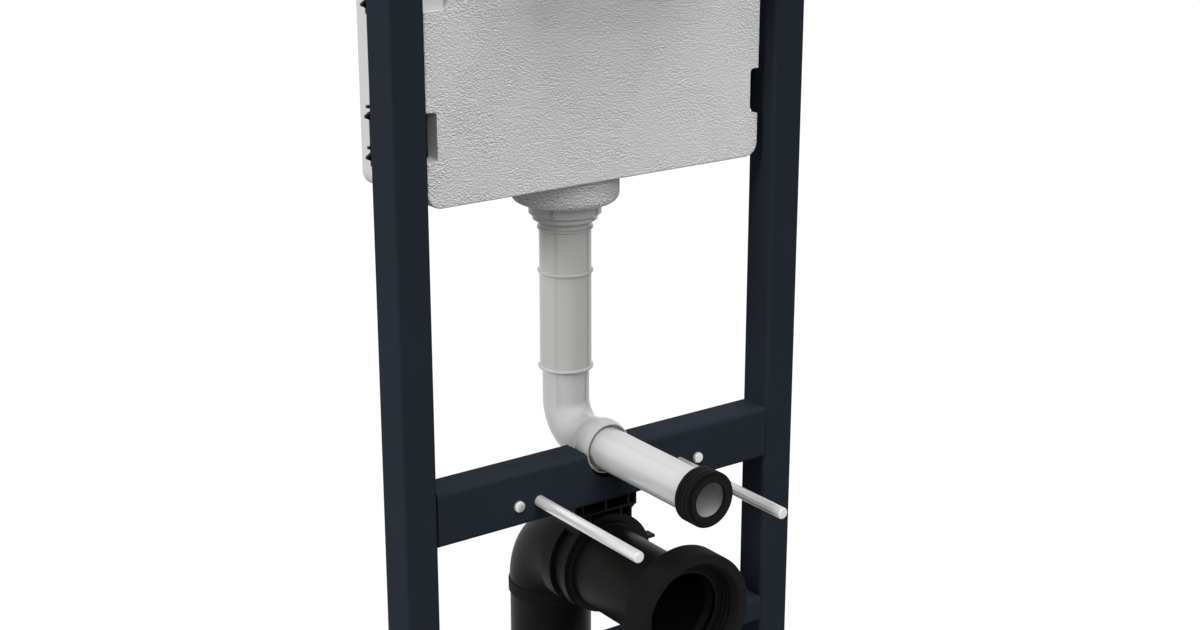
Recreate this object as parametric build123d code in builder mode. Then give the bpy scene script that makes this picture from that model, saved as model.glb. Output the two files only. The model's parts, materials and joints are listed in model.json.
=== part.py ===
from build123d import *
import os

# Wall hung toilet frame: two steel uprights with cross rails that carry an insulated
# cistern, its flush pipe, the waste bend and the two studs for the pan.
# Millimetres. The origin is the middle of the left leg on the underside of its foot plate.
# +X runs to the right upright, -Y to the front, where the pan hangs, and +Z up.

os.makedirs("parts", exist_ok=True)

# Steel frame
FRAME_WIDTH = 500
FRAME_HEIGHT = 1120
TUBE = 40
TUBE_WALL = 2
TUBE_CORNER = 4.5
UPRIGHT_BASE_Z = 35
CAP_THICKNESS = 3
CAP_EDGE = 1
TOP_RAIL_HEIGHT = 40
PAN_RAIL_BASE_Z = 298
PAN_RAIL_HEIGHT = 58
BASE_RAIL_Z = 98
BASE_RAIL_HEIGHT = 30
SADDLE_CLEARANCE = 0.8

# Legs and feet
LEG = 35
LEG_WALL = 2.5
LEG_LENGTH = 245
LEG_CORNER = 3
FOOT_THICKNESS = 5
FOOT_WIDTH = 70
FOOT_FRONT = 45
FOOT_BACK = 75
FOOT_CORNER = 8
FOOT_HOLE = 11
FOOT_HOLE_EDGE = 12
GUIDE_LIP = 3
GUIDE_CLEARANCE = 0.3
CLAMP_BOLT = 8
CLAMP_BOLT_Z = 56
CLAMP_HEAD_AF = 13
CLAMP_HEAD_HEIGHT = 5.5

# Wall fixing at the top
WALL_Y = 150
WALL_ROD = 10
WALL_ROD_DROP = 24
WALL_NUT_AF = 17
WALL_NUT_HEIGHT = 8
WALL_ROD_END = 4
WALL_PLATE_WIDTH = 40
WALL_PLATE_THICKNESS = 4
WALL_PLATE_CORNER = 6
WALL_PLATE_TOP = 22
WALL_PLATE_DROP = 60
WALL_HOLE = 10
WALL_HOLE_DROP = 42

# Pan studs
STUD_Z = 320
STUD_SPACING = 180
STUD = 12
STUD_SHANK = 11.4
STUD_REACH = 170.5
STUD_TAIL = 16
STUD_CHAMFER = 1
SPARE_SPACING = 230
SPARE_REACH = 3.5
RAIL_NUT_AF = 18
RAIL_NUT_HEIGHT = 10
THREAD_CLEARANCE = 0.2

# Cistern
CISTERN_SIDE_GAP = 8
CISTERN_BASE_Z = 638
CISTERN_HEADROOM = 10
CISTERN_FRONT_Y = -4
CISTERN_BACK_Y = 125
CISTERN_SPLIT_Y = 55
CISTERN_CORNER = 15
CISTERN_FRONT_EDGE = 2
CISTERN_BACK_EDGE = 3
INSULATION = 15
TANK_WALL = 3
TANK_CORNER = 12
FIT = 0.3
NOTCH_RISE = 45.5
NOTCH_HEIGHT = 48.5
NOTCH_DEPTH = 11.5
NOTCH_CORNER = 4
POCKET_RISE = 188
POCKET_HEIGHT = 60
POCKET_WIDTH = 25
POCKET_DEPTH = 6
POCKET_CORNER = 6
SLOT_RISE = 188.5
NECK = 113
NECK_DROP = 32
NECK_EDGE = 10
OUTLET = 56

# Access opening behind the flush plate
ACCESS_DROP = 85
ACCESS_WIDTH = 220
ACCESS_HEIGHT = 150
ACCESS_WALL = 3
ACCESS_FRONT_Y = -75
ACCESS_CORNER = 10
COVER_THICKNESS = 4
COVER_LIP = 6

# Water inlet
INLET_X = 150
INLET_Y = 85
INLET = 21
INLET_BORE = 12
INLET_REACH = 24
INLET_HEX_AF = 30
INLET_HEX_HEIGHT = 8

# Cistern clips
CLIP_SEAT = 3
CLIP_NOTCH_GAP = 2.3
CISTERN_CLIP_HEIGHT = 44.5
CISTERN_CLIP_FRONT_Y = 10
CISTERN_CLIP_WALL = 4
CLIP_ARM_HEIGHT = 52
CLIP_ARM_REACH = 17
BARB_RISES = (4.8, 43.8)
BARB_REACH = 5
BARB_TOP = 4.5
BARB_BASE = 3.5
BARB_TIP = 2.2
NUB_RISE = 9.5
NUB_REACH = 3
NUB_HEIGHT = 2.5

# Flush pipe
FLUSH_Y = 62
FLUSH_Z = 355
FLANGE = 76.6
FLANGE_HEIGHT = 12
FLANGE_CONE = 3
UNION_RING = 68.4
UNION_RING_HEIGHT = 3.5
UNION_RING_CONE = 4
UNION_NECK = 57
UNION_NECK_HEIGHT = 3.5
UNION_SEAT_DEPTH = 20
SLEEVE = 55
SLEEVE_WALL = 2
SLEEVE_BASE_Z = 424
BEAD = 58.8
BEAD_HEIGHT = 4
BEAD_CREST = 1.6
MIDDLE_BEAD_DROP = 49
ELBOW_PIPE = 50
FLUSH_WALL = 2.5
ELBOW_BEND = 35
SOCKET = 58.4
SOCKET_MOUTH = 53.6
SOCKET_MOUTH_Y = -15
SOCKET_BULGE_Y = -3
SOCKET_BACK_Y = 14
SOCKET_RIM_WALL = 1.2
SOCKET_RIM_DEPTH = 6
FLUSH_PIPE = 45
FLUSH_PIPE_TAIL = 23
SEAL = 58
SEAL_BACK_Y = -165
SEAL_FRONT_Y = -186
SEAL_FRONT_WALL = 4
SEAL_LIP = 48.4
SEAL_LIP_LENGTH = 2.6
SEAL_BORE = 36
SEAL_EDGE = 1
SEAL_GROOVES = ((16.5, 1.5), (12.3, 1.5), (6, 2.5))
SEAL_GROOVE_DEPTH = 2

# Waste
WASTE_Y = 94
WASTE_Z = 220
WASTE_PIPE = 90
WASTE_WALL = 4
WASTE_END_Z = 40
WASTE_BEND = 50
WASTE_BEND_STEP = 0.5
WASTE_SOCKET_WALL = 5
WASTE_SOCKET_BACK_Y = 34
WASTE_SOCKET_CONE = 4
WASTE_MOUTH_Y = -16
CONNECTOR_TAIL = 45
JOINT_RING_HEIGHT = 17
JOINT_RING_WALL = 1.5
JOINT_RING_EDGE = 1
JOINT_GROOVE_WIDTH = 2.4
JOINT_GROOVE_DEPTH = 0.8
COLLAR = 130
COLLAR_BACK_Y = -131
COLLAR_FRONT_Y = -164
COLLAR_BACK_EDGE = 5
COLLAR_FRONT_EDGE = 3
COLLAR_GRIP = 6
COLLAR_SEAT = 110
COLLAR_MOUTH_STEP = 2
COLLAR_RIDGES = ((12.5, 0.8), (15.4, 2.1), (18, 3.2))
COLLAR_CHAMBER = 100
LIP_ROOT = 20
LIP_LEAN = 4
LIP_REACH = 11.4
LIP_THICKNESS = 1.5

# Waste clip
CLIP_BODY_WALL = 5.9
CLIP_BODY_X = 2.3
CLIP_BODY_Z = 1.5
CLIP_BAND_WALL = 4.7
CLIP_BACK_BAND = (15, 32)
CLIP_FRONT_BAND = (-11, -3)
CLIP_BOX = 80
CLIP_BOX_HEIGHT = 16
CLIP_TOP_PLATE = 3
CLIP_RIB = 2.5
CLIP_UPPER_RIBS = (-29.5, 0, 29.5)
CLIP_LOWER_RIBS = (-20, 20)
CLIP_CORNER = 6
CLIP_CORNER_DROP = 5
CLIP_GAP_DROP = 34
EAR_LENGTH = 15
EAR_DEPTH = 13
EAR_THICKNESS = 3
EAR_RISE = 16.5

SPAN = FRAME_WIDTH - TUBE
MIDDLE_X = SPAN / 2
RAIL_LENGTH = SPAN - TUBE
FACE_Y = TUBE / 2
WALL_ROD_Z = FRAME_HEIGHT - WALL_ROD_DROP
SADDLE_RADIUS = SOCKET / 2 + SADDLE_CLEARANCE
SHANK_HOLE = STUD_SHANK / 2 + THREAD_CLEARANCE
SIDES = {"left": (0, 1), "right": (SPAN, -1)}


def finish(piece, name):
    """Label one piece and write it to its own file."""
    piece.part.label = name
    export_step(piece.part, f"parts/{name}.step")


def turned_upright(x, y):
    """Plane for the half section of a round piece that stands at (x, y): radius, height."""
    return Plane(origin=(x, y, 0), x_dir=(1, 0, 0), z_dir=(0, -1, 0))


def turned_forward(x, z):
    """Plane for the half section of a round piece that lies along Y: distance, radius."""
    return Plane(origin=(x, 0, z), x_dir=(0, 1, 0), z_dir=(1, 0, 0))


# Uprights
for side, (x, inward) in SIDES.items():
    with BuildPart() as upright:
        with BuildSketch(Plane.XY.offset(UPRIGHT_BASE_Z)):
            with Locations((x, 0)):
                RectangleRounded(TUBE, TUBE, TUBE_CORNER)
                RectangleRounded(TUBE - 2 * TUBE_WALL, TUBE - 2 * TUBE_WALL,
                                 TUBE_CORNER - TUBE_WALL, mode=Mode.SUBTRACT)
        extrude(amount=FRAME_HEIGHT - UPRIGHT_BASE_Z)
        with BuildSketch(Plane.XZ.offset(-FACE_Y)):
            with Locations((x, WALL_ROD_Z)):
                Circle(WALL_ROD / 2 + THREAD_CLEARANCE)
        extrude(amount=TUBE, mode=Mode.SUBTRACT)
        with BuildSketch(Plane.XZ.offset(FACE_Y)):
            with Locations((x, CLAMP_BOLT_Z)):
                Circle(CLAMP_BOLT / 2 + THREAD_CLEARANCE)
        extrude(amount=-FACE_Y, mode=Mode.SUBTRACT)
    finish(upright, f"upright_{side}")

    with BuildPart() as top_cap:
        with BuildSketch(Plane.XY.offset(FRAME_HEIGHT)):
            with Locations((x, 0)):
                RectangleRounded(TUBE, TUBE, TUBE_CORNER)
        extrude(amount=CAP_THICKNESS)
        chamfer(top_cap.faces().sort_by(Axis.Z)[-1].edges(), CAP_EDGE)
    finish(top_cap, f"top_cap_{side}")


# Cross rails
def cross_rail(base_z, height):
    """Square-cornered box section between the uprights, with rounded long edges."""
    with BuildPart() as rail:
        with BuildSketch(Plane.YZ.offset(TUBE / 2)):
            with Locations((0, base_z + height / 2)):
                RectangleRounded(TUBE, height, TUBE_CORNER)
                RectangleRounded(TUBE - 2 * TUBE_WALL, height - 2 * TUBE_WALL,
                                 TUBE_CORNER - TUBE_WALL, mode=Mode.SUBTRACT)
        extrude(amount=RAIL_LENGTH)
    return rail


finish(cross_rail(FRAME_HEIGHT - TOP_RAIL_HEIGHT, TOP_RAIL_HEIGHT), "top_rail")
finish(cross_rail(BASE_RAIL_Z, BASE_RAIL_HEIGHT), "base_rail")

STUD_XS = [MIDDLE_X - STUD_SPACING / 2, MIDDLE_X + STUD_SPACING / 2]
SPARE_XS = [MIDDLE_X - SPARE_SPACING / 2, MIDDLE_X + SPARE_SPACING / 2]

with BuildPart() as pan_rail:
    add(cross_rail(PAN_RAIL_BASE_Z, PAN_RAIL_HEIGHT).part)
    with BuildSketch(Plane.XZ.offset(-FACE_Y)):
        with Locations((MIDDLE_X, FLUSH_Z)):
            Circle(SADDLE_RADIUS)
        with Locations([(hole_x, STUD_Z) for hole_x in STUD_XS + SPARE_XS]):
            Circle(SHANK_HOLE)
    extrude(amount=TUBE, mode=Mode.SUBTRACT)
finish(pan_rail, "pan_rail")

# Legs, guides, feet and clamp bolts
for side, (x, inward) in SIDES.items():
    with BuildPart() as leg:
        with BuildSketch(Plane.XY.offset(FOOT_THICKNESS)):
            with Locations((x, 0)):
                RectangleRounded(LEG, LEG, LEG_CORNER)
                RectangleRounded(LEG - 2 * LEG_WALL, LEG - 2 * LEG_WALL,
                                 LEG_CORNER - LEG_WALL, mode=Mode.SUBTRACT)
        extrude(amount=LEG_LENGTH)
    finish(leg, f"leg_{side}")

    with BuildPart() as guide:
        with BuildSketch(Plane.XY.offset(UPRIGHT_BASE_Z - GUIDE_LIP)):
            with Locations((x, 0)):
                RectangleRounded(TUBE, TUBE, TUBE_CORNER)
                RectangleRounded(LEG + 2 * GUIDE_CLEARANCE, LEG + 2 * GUIDE_CLEARANCE,
                                 LEG_CORNER, mode=Mode.SUBTRACT)
        extrude(amount=GUIDE_LIP)
    finish(guide, f"leg_guide_{side}")

    with BuildPart() as foot:
        with BuildSketch(Plane.XY):
            with Locations((x, (FOOT_BACK - FOOT_FRONT) / 2)):
                RectangleRounded(FOOT_WIDTH, FOOT_FRONT + FOOT_BACK, FOOT_CORNER)
            with Locations((x, FOOT_HOLE_EDGE - FOOT_FRONT), (x, FOOT_BACK - 2 * FOOT_HOLE_EDGE)):
                Circle(FOOT_HOLE / 2, mode=Mode.SUBTRACT)
        extrude(amount=FOOT_THICKNESS)
    finish(foot, f"foot_plate_{side}")

    with BuildPart() as clamp_bolt:
        with BuildSketch(Plane.XZ.offset(FACE_Y)):
            with Locations((x, CLAMP_BOLT_Z)):
                RegularPolygon(CLAMP_HEAD_AF / 2, 6, major_radius=False)
        extrude(amount=CLAMP_HEAD_HEIGHT)
        with BuildSketch(Plane.XZ.offset(FACE_Y)):
            with Locations((x, CLAMP_BOLT_Z)):
                Circle(CLAMP_BOLT / 2)
        extrude(amount=LEG / 2 - FACE_Y)
    finish(clamp_bolt, f"leg_clamp_bolt_{side}")

# Wall fixing: a rod through each upright and a plate on the wall
for side, (x, inward) in SIDES.items():
    with BuildPart() as wall_rod:
        with BuildSketch(Plane.XZ.offset(FACE_Y + WALL_NUT_HEIGHT + WALL_ROD_END)):
            with Locations((x, WALL_ROD_Z)):
                Circle(WALL_ROD / 2)
        extrude(amount=-(FACE_Y + WALL_NUT_HEIGHT + WALL_ROD_END + WALL_Y - WALL_PLATE_THICKNESS))
    finish(wall_rod, f"wall_rod_{side}")

    with BuildPart() as wall_plate:
        with BuildSketch(Plane.XZ.offset(-WALL_Y)):
            with Locations((x, WALL_ROD_Z + (WALL_PLATE_TOP - WALL_PLATE_DROP) / 2)):
                RectangleRounded(WALL_PLATE_WIDTH, WALL_PLATE_TOP + WALL_PLATE_DROP,
                                 WALL_PLATE_CORNER)
            with Locations((x, WALL_ROD_Z - WALL_HOLE_DROP)):
                Circle(WALL_HOLE / 2, mode=Mode.SUBTRACT)
        extrude(amount=WALL_PLATE_THICKNESS)
    finish(wall_plate, f"wall_plate_{side}")

with BuildPart() as wall_nuts:
    for x, inward in SIDES.values():
        for nut_y in (-FACE_Y - WALL_NUT_HEIGHT, FACE_Y,
                      WALL_Y - WALL_PLATE_THICKNESS - WALL_NUT_HEIGHT):
            with BuildSketch(Plane.XZ.offset(-nut_y)):
                with Locations((x, WALL_ROD_Z)):
                    RegularPolygon(WALL_NUT_AF / 2, 6, major_radius=False)
                    Circle(WALL_ROD / 2 + THREAD_CLEARANCE, mode=Mode.SUBTRACT)
            extrude(amount=-WALL_NUT_HEIGHT)
finish(wall_nuts, "wall_rod_nuts")

# Pan studs, the short bolts that close the spare holes, and the nuts behind the rail
for kind, reach, xs in (("pan_stud", STUD_REACH, STUD_XS), ("blanking_bolt", SPARE_REACH, SPARE_XS)):
    for side, x in zip(SIDES, xs):
        with BuildPart() as stud:
            with BuildSketch(Plane.XZ.offset(FACE_Y)):
                with Locations((x, STUD_Z)):
                    Circle(STUD / 2)
            extrude(amount=reach)
            with BuildSketch(Plane.XZ.offset(FACE_Y)):
                with Locations((x, STUD_Z)):
                    Circle(STUD_SHANK / 2)
            extrude(amount=-(2 * FACE_Y + STUD_TAIL))
            ends = stud.edges().filter_by(GeomType.CIRCLE).sort_by(Axis.Y)
            chamfer((ends[0], ends[-1]), STUD_CHAMFER)
        finish(stud, f"{kind}_{side}")

with BuildPart() as rail_nuts:
    with BuildSketch(Plane.XZ.offset(-FACE_Y)):
        with Locations([(nut_x, STUD_Z) for nut_x in STUD_XS + SPARE_XS]):
            RegularPolygon(RAIL_NUT_AF / 2, 6, major_radius=False, rotation=30)
            Circle(SHANK_HOLE, mode=Mode.SUBTRACT)
    extrude(amount=-RAIL_NUT_HEIGHT)
finish(rail_nuts, "rail_nuts")

# Cistern: two foam halves around a plastic tank
CISTERN_WIDTH = RAIL_LENGTH - 2 * CISTERN_SIDE_GAP
CISTERN_TOP_Z = FRAME_HEIGHT - TOP_RAIL_HEIGHT - CISTERN_HEADROOM
CISTERN_HEIGHT = CISTERN_TOP_Z - CISTERN_BASE_Z
CISTERN_MIDDLE_Z = (CISTERN_TOP_Z + CISTERN_BASE_Z) / 2
NOTCH_BASE_Z = CISTERN_BASE_Z + NOTCH_RISE
POCKET_BASE_Z = CISTERN_BASE_Z + POCKET_RISE
SLOT_BASE_Z = CISTERN_BASE_Z + SLOT_RISE
OUTLET_END_Z = CISTERN_BASE_Z - NECK_DROP
ACCESS_Z = CISTERN_TOP_Z - ACCESS_DROP
CISTERN_EDGE_XS = (MIDDLE_X - CISTERN_WIDTH / 2, MIDDLE_X + CISTERN_WIDTH / 2)


def cistern_block(front_y, back_y, inset, corner):
    """Rounded block of the cistern's outline, moved in by inset, from front_y to back_y."""
    with BuildPart() as block:
        with BuildSketch(Plane.XZ.offset(-back_y)):
            with Locations((MIDDLE_X, CISTERN_MIDDLE_Z)):
                RectangleRounded(CISTERN_WIDTH - 2 * inset, CISTERN_HEIGHT - 2 * inset, corner)
        extrude(amount=back_y - front_y)
    return block


with BuildSketch(Plane.XY.offset(CISTERN_BASE_Z)) as outlet_hole:
    with Locations((MIDDLE_X, FLUSH_Y)):
        Circle(OUTLET / 2 + FIT)

with BuildPart() as front_shell:
    add(cistern_block(CISTERN_FRONT_Y, CISTERN_SPLIT_Y, 0, CISTERN_CORNER).part)
    fillet(front_shell.faces().sort_by(Axis.Y)[0].edges(), CISTERN_FRONT_EDGE)
    add(cistern_block(CISTERN_FRONT_Y + INSULATION, CISTERN_SPLIT_Y, INSULATION,
                      TANK_CORNER).part, mode=Mode.SUBTRACT)
    with BuildSketch(Plane.XZ.offset(-CISTERN_SPLIT_Y)):
        with Locations([(edge_x, NOTCH_BASE_Z + NOTCH_HEIGHT / 2) for edge_x in CISTERN_EDGE_XS]):
            RectangleRounded(2 * NOTCH_DEPTH, NOTCH_HEIGHT, NOTCH_CORNER)
        with Locations((MIDDLE_X, ACCESS_Z)):
            RectangleRounded(ACCESS_WIDTH + 2 * FIT, ACCESS_HEIGHT + 2 * FIT, ACCESS_CORNER)
    extrude(amount=CISTERN_SPLIT_Y - CISTERN_FRONT_Y, mode=Mode.SUBTRACT)
    with BuildSketch(Plane.XZ.offset(-CISTERN_FRONT_Y)):
        with Locations([(edge_x, POCKET_BASE_Z + POCKET_HEIGHT / 2) for edge_x in CISTERN_EDGE_XS]):
            RectangleRounded(2 * POCKET_WIDTH, POCKET_HEIGHT, POCKET_CORNER)
    extrude(amount=-POCKET_DEPTH, mode=Mode.SUBTRACT)
    with BuildSketch(Plane.XZ.offset(-CISTERN_SPLIT_Y)):
        with Locations([(edge_x, SLOT_BASE_Z + NOTCH_HEIGHT / 2) for edge_x in CISTERN_EDGE_XS]):
            Rectangle(2 * INSULATION, NOTCH_HEIGHT)
    extrude(amount=CISTERN_SPLIT_Y - CISTERN_CLIP_FRONT_Y + FIT, mode=Mode.SUBTRACT)
    extrude(outlet_hole.sketch, amount=INSULATION, mode=Mode.SUBTRACT)
finish(front_shell, "cistern_front_shell")

with BuildPart() as rear_shell:
    add(cistern_block(CISTERN_SPLIT_Y, CISTERN_BACK_Y, 0, CISTERN_CORNER).part)
    fillet(rear_shell.faces().sort_by(Axis.Y)[-1].edges(), CISTERN_BACK_EDGE)
    add(cistern_block(CISTERN_SPLIT_Y, CISTERN_BACK_Y - INSULATION, INSULATION,
                      TANK_CORNER).part, mode=Mode.SUBTRACT)
    extrude(outlet_hole.sketch, amount=INSULATION, mode=Mode.SUBTRACT)
    with BuildSketch(Plane.XY.offset(CISTERN_TOP_Z)):
        with Locations((MIDDLE_X + INLET_X, INLET_Y)):
            Circle(INLET / 2 + FIT)
    extrude(amount=-INSULATION, mode=Mode.SUBTRACT)
finish(rear_shell, "cistern_rear_shell")

with BuildPart() as tank:
    add(cistern_block(CISTERN_FRONT_Y + INSULATION + FIT, CISTERN_BACK_Y - INSULATION - FIT,
                      INSULATION + FIT, TANK_CORNER).part)
    add(cistern_block(CISTERN_FRONT_Y + INSULATION + FIT + TANK_WALL,
                      CISTERN_BACK_Y - INSULATION - FIT - TANK_WALL,
                      INSULATION + FIT + TANK_WALL, TANK_CORNER - TANK_WALL).part, mode=Mode.SUBTRACT)
    with BuildSketch(Plane.XY.offset(OUTLET_END_Z)):
        with Locations((MIDDLE_X, FLUSH_Y)):
            Circle(OUTLET / 2)
    extrude(amount=CISTERN_BASE_Z + INSULATION + FIT + TANK_WALL - OUTLET_END_Z)
    with BuildSketch(Plane.XY.offset(OUTLET_END_Z)):
        with Locations((MIDDLE_X, FLUSH_Y)):
            Circle(OUTLET / 2 - TANK_WALL)
    extrude(amount=CISTERN_BASE_Z + INSULATION + FIT + TANK_WALL - OUTLET_END_Z, mode=Mode.SUBTRACT)
    with BuildSketch(Plane.XZ.offset(-(CISTERN_FRONT_Y + INSULATION + FIT))):
        with Locations((MIDDLE_X, ACCESS_Z)):
            RectangleRounded(ACCESS_WIDTH - 2 * ACCESS_WALL, ACCESS_HEIGHT - 2 * ACCESS_WALL,
                             ACCESS_CORNER - ACCESS_WALL)
    extrude(amount=-TANK_WALL, mode=Mode.SUBTRACT)
    with BuildSketch(Plane.XY.offset(CISTERN_TOP_Z - INSULATION)):
        with Locations((MIDDLE_X + INLET_X, INLET_Y)):
            Circle(INLET / 2 + FIT)
    extrude(amount=-2 * TANK_WALL, mode=Mode.SUBTRACT)
finish(tank, "cistern_tank")

with BuildPart() as neck:
    with BuildSketch(Plane.XY.offset(OUTLET_END_Z)):
        with Locations((MIDDLE_X, FLUSH_Y)):
            Circle(NECK / 2)
    extrude(amount=CISTERN_BASE_Z - OUTLET_END_Z)
    fillet(neck.faces().sort_by(Axis.Z)[0].edges(), NECK_EDGE)
    with BuildSketch(Plane.XY.offset(OUTLET_END_Z)):
        with Locations((MIDDLE_X, FLUSH_Y)):
            Circle(OUTLET / 2 + FIT)
    extrude(amount=CISTERN_BASE_Z - OUTLET_END_Z, mode=Mode.SUBTRACT)
finish(neck, "cistern_neck")

# Access housing and its cover
with BuildPart() as housing:
    with BuildSketch(Plane.XZ.offset(-(CISTERN_FRONT_Y + INSULATION))):
        with Locations((MIDDLE_X, ACCESS_Z)):
            RectangleRounded(ACCESS_WIDTH, ACCESS_HEIGHT, ACCESS_CORNER)
            RectangleRounded(ACCESS_WIDTH - 2 * ACCESS_WALL, ACCESS_HEIGHT - 2 * ACCESS_WALL,
                             ACCESS_CORNER - ACCESS_WALL, mode=Mode.SUBTRACT)
    extrude(amount=CISTERN_FRONT_Y + INSULATION - ACCESS_FRONT_Y)
finish(housing, "access_housing")

with BuildPart() as cover:
    with BuildSketch(Plane.XZ.offset(-ACCESS_FRONT_Y)):
        with Locations((MIDDLE_X, ACCESS_Z)):
            RectangleRounded(ACCESS_WIDTH + 2 * COVER_LIP, ACCESS_HEIGHT + 2 * COVER_LIP, ACCESS_CORNER)
    extrude(amount=COVER_THICKNESS)
    chamfer(cover.faces().sort_by(Axis.Y)[0].edges(), COVER_THICKNESS / 2)
finish(cover, "access_cover")

# Water inlet on the cistern's top
with BuildPart() as inlet:
    with BuildSketch(Plane.XY.offset(CISTERN_TOP_Z - INSULATION - TANK_WALL)):
        with Locations((MIDDLE_X + INLET_X, INLET_Y)):
            Circle(INLET / 2)
            Circle(INLET_BORE / 2, mode=Mode.SUBTRACT)
    extrude(amount=INSULATION + TANK_WALL + INLET_REACH)
    with BuildSketch(Plane.XY.offset(CISTERN_TOP_Z)):
        with Locations((MIDDLE_X + INLET_X, INLET_Y)):
            RegularPolygon(INLET_HEX_AF / 2, 6, major_radius=False)
            Circle(INLET_BORE / 2, mode=Mode.SUBTRACT)
    extrude(amount=INLET_HEX_HEIGHT)
finish(inlet, "water_inlet")

# Clips that hold the cistern behind the uprights: a plate beside the tank and a barbed arm
ARM_FRONT_Y = FACE_Y + FIT
ARM_BACK_Y = ARM_FRONT_Y + CISTERN_CLIP_WALL
ARM_OVERHANG = (CLIP_ARM_HEIGHT - CISTERN_CLIP_HEIGHT) / 2

for side, (x, inward) in SIDES.items():
    for level, seat_z, depth in (("lower", NOTCH_BASE_Z, NOTCH_DEPTH - CLIP_NOTCH_GAP),
                                 ("upper", SLOT_BASE_Z, INSULATION)):
        base_z = seat_z + CLIP_SEAT
        shell_x = x + inward * (TUBE / 2 + CISTERN_SIDE_GAP - FIT)
        inner_x = shell_x + inward * depth
        plate_x = inner_x - inward * CISTERN_CLIP_WALL
        outer_x = x - inward * CLIP_ARM_REACH
        with BuildPart() as clip:
            with BuildSketch(Plane.XY.offset(base_z)):
                with BuildLine():
                    Polyline(
                        (inner_x, CISTERN_CLIP_FRONT_Y),
                        (inner_x, CISTERN_SPLIT_Y),
                        (plate_x, CISTERN_SPLIT_Y),
                        (plate_x, ARM_BACK_Y),
                        (shell_x, ARM_BACK_Y),
                        (shell_x, ARM_FRONT_Y),
                        (plate_x, ARM_FRONT_Y),
                        (plate_x, CISTERN_CLIP_FRONT_Y),
                        close=True)
                make_face()
            extrude(amount=CISTERN_CLIP_HEIGHT)
            with BuildSketch(Plane.XZ.offset(-ARM_BACK_Y)):
                with BuildLine():
                    Polyline(
                        (shell_x, base_z - ARM_OVERHANG),
                        (shell_x, base_z - ARM_OVERHANG + CLIP_ARM_HEIGHT),
                        (outer_x, base_z - ARM_OVERHANG + CLIP_ARM_HEIGHT),
                        (outer_x, base_z - ARM_OVERHANG),
                        close=True)
                make_face()
                for rise in BARB_RISES:
                    barb_z = base_z + rise
                    tip_x = outer_x - inward * BARB_REACH
                    with BuildLine():
                        Polyline(
                            (outer_x, barb_z - BARB_BASE),
                            (outer_x, barb_z + BARB_TOP),
                            (tip_x, barb_z + BARB_TIP / 2),
                            (tip_x, barb_z - BARB_TIP / 2),
                            close=True)
                    make_face()
                    with Locations((outer_x, barb_z + NUB_RISE)):
                        Rectangle(2 * NUB_REACH, NUB_HEIGHT)
            extrude(amount=CISTERN_CLIP_WALL)
        finish(clip, f"cistern_clip_{level}_{side}")

# Flush pipe, from the union under the cistern to the seal at its front end
FLANGE_BASE_Z = OUTLET_END_Z - FLANGE_HEIGHT
UNION_RING_TOP_Z = FLANGE_BASE_Z - FLANGE_CONE
UNION_RING_BASE_Z = UNION_RING_TOP_Z - UNION_RING_HEIGHT
UNION_NECK_TOP_Z = UNION_RING_BASE_Z - UNION_RING_CONE
UNION_BASE_Z = UNION_NECK_TOP_Z - UNION_NECK_HEIGHT
UNION_SEAT_Z = UNION_BASE_Z + UNION_SEAT_DEPTH

with BuildPart() as union:
    with BuildSketch(turned_upright(MIDDLE_X, FLUSH_Y)):
        with BuildLine():
            Polyline(
                (ELBOW_PIPE / 2, UNION_BASE_Z),
                (UNION_NECK / 2, UNION_BASE_Z),
                (UNION_NECK / 2, UNION_NECK_TOP_Z),
                (UNION_RING / 2, UNION_RING_BASE_Z),
                (UNION_RING / 2, UNION_RING_TOP_Z),
                (FLANGE / 2, FLANGE_BASE_Z),
                (FLANGE / 2, OUTLET_END_Z),
                (ELBOW_PIPE / 2 - FLUSH_WALL, OUTLET_END_Z),
                (ELBOW_PIPE / 2 - FLUSH_WALL, UNION_SEAT_Z),
                (ELBOW_PIPE / 2, UNION_SEAT_Z),
                close=True)
        make_face()
    revolve(axis=Axis((MIDDLE_X, FLUSH_Y, 0), (0, 0, 1)))
finish(union, "flush_collar")

with BuildPart() as sleeve:
    with BuildSketch(turned_upright(MIDDLE_X, FLUSH_Y)):
        with Locations((SLEEVE / 2 - SLEEVE_WALL / 2, (SLEEVE_BASE_Z + UNION_BASE_Z) / 2)):
            Rectangle(SLEEVE_WALL, UNION_BASE_Z - SLEEVE_BASE_Z)
        for bead_z in (SLEEVE_BASE_Z + BEAD_HEIGHT / 2, UNION_BASE_Z - MIDDLE_BEAD_DROP,
                       UNION_BASE_Z - BEAD_HEIGHT / 2):
            with BuildLine():
                Polyline(
                    (SLEEVE / 2, bead_z - BEAD_HEIGHT / 2),
                    (BEAD / 2, bead_z - BEAD_CREST / 2),
                    (BEAD / 2, bead_z + BEAD_CREST / 2),
                    (SLEEVE / 2, bead_z + BEAD_HEIGHT / 2),
                    close=True)
            make_face()
    revolve(axis=Axis((MIDDLE_X, FLUSH_Y, 0), (0, 0, 1)))
finish(sleeve, "flush_pipe_sleeve")

FLUSH_PIPE_BACK_Y = SOCKET_MOUTH_Y + FLUSH_PIPE_TAIL
FLUSH_PIPE_END_Y = SEAL_FRONT_Y + SEAL_FRONT_WALL

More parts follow.
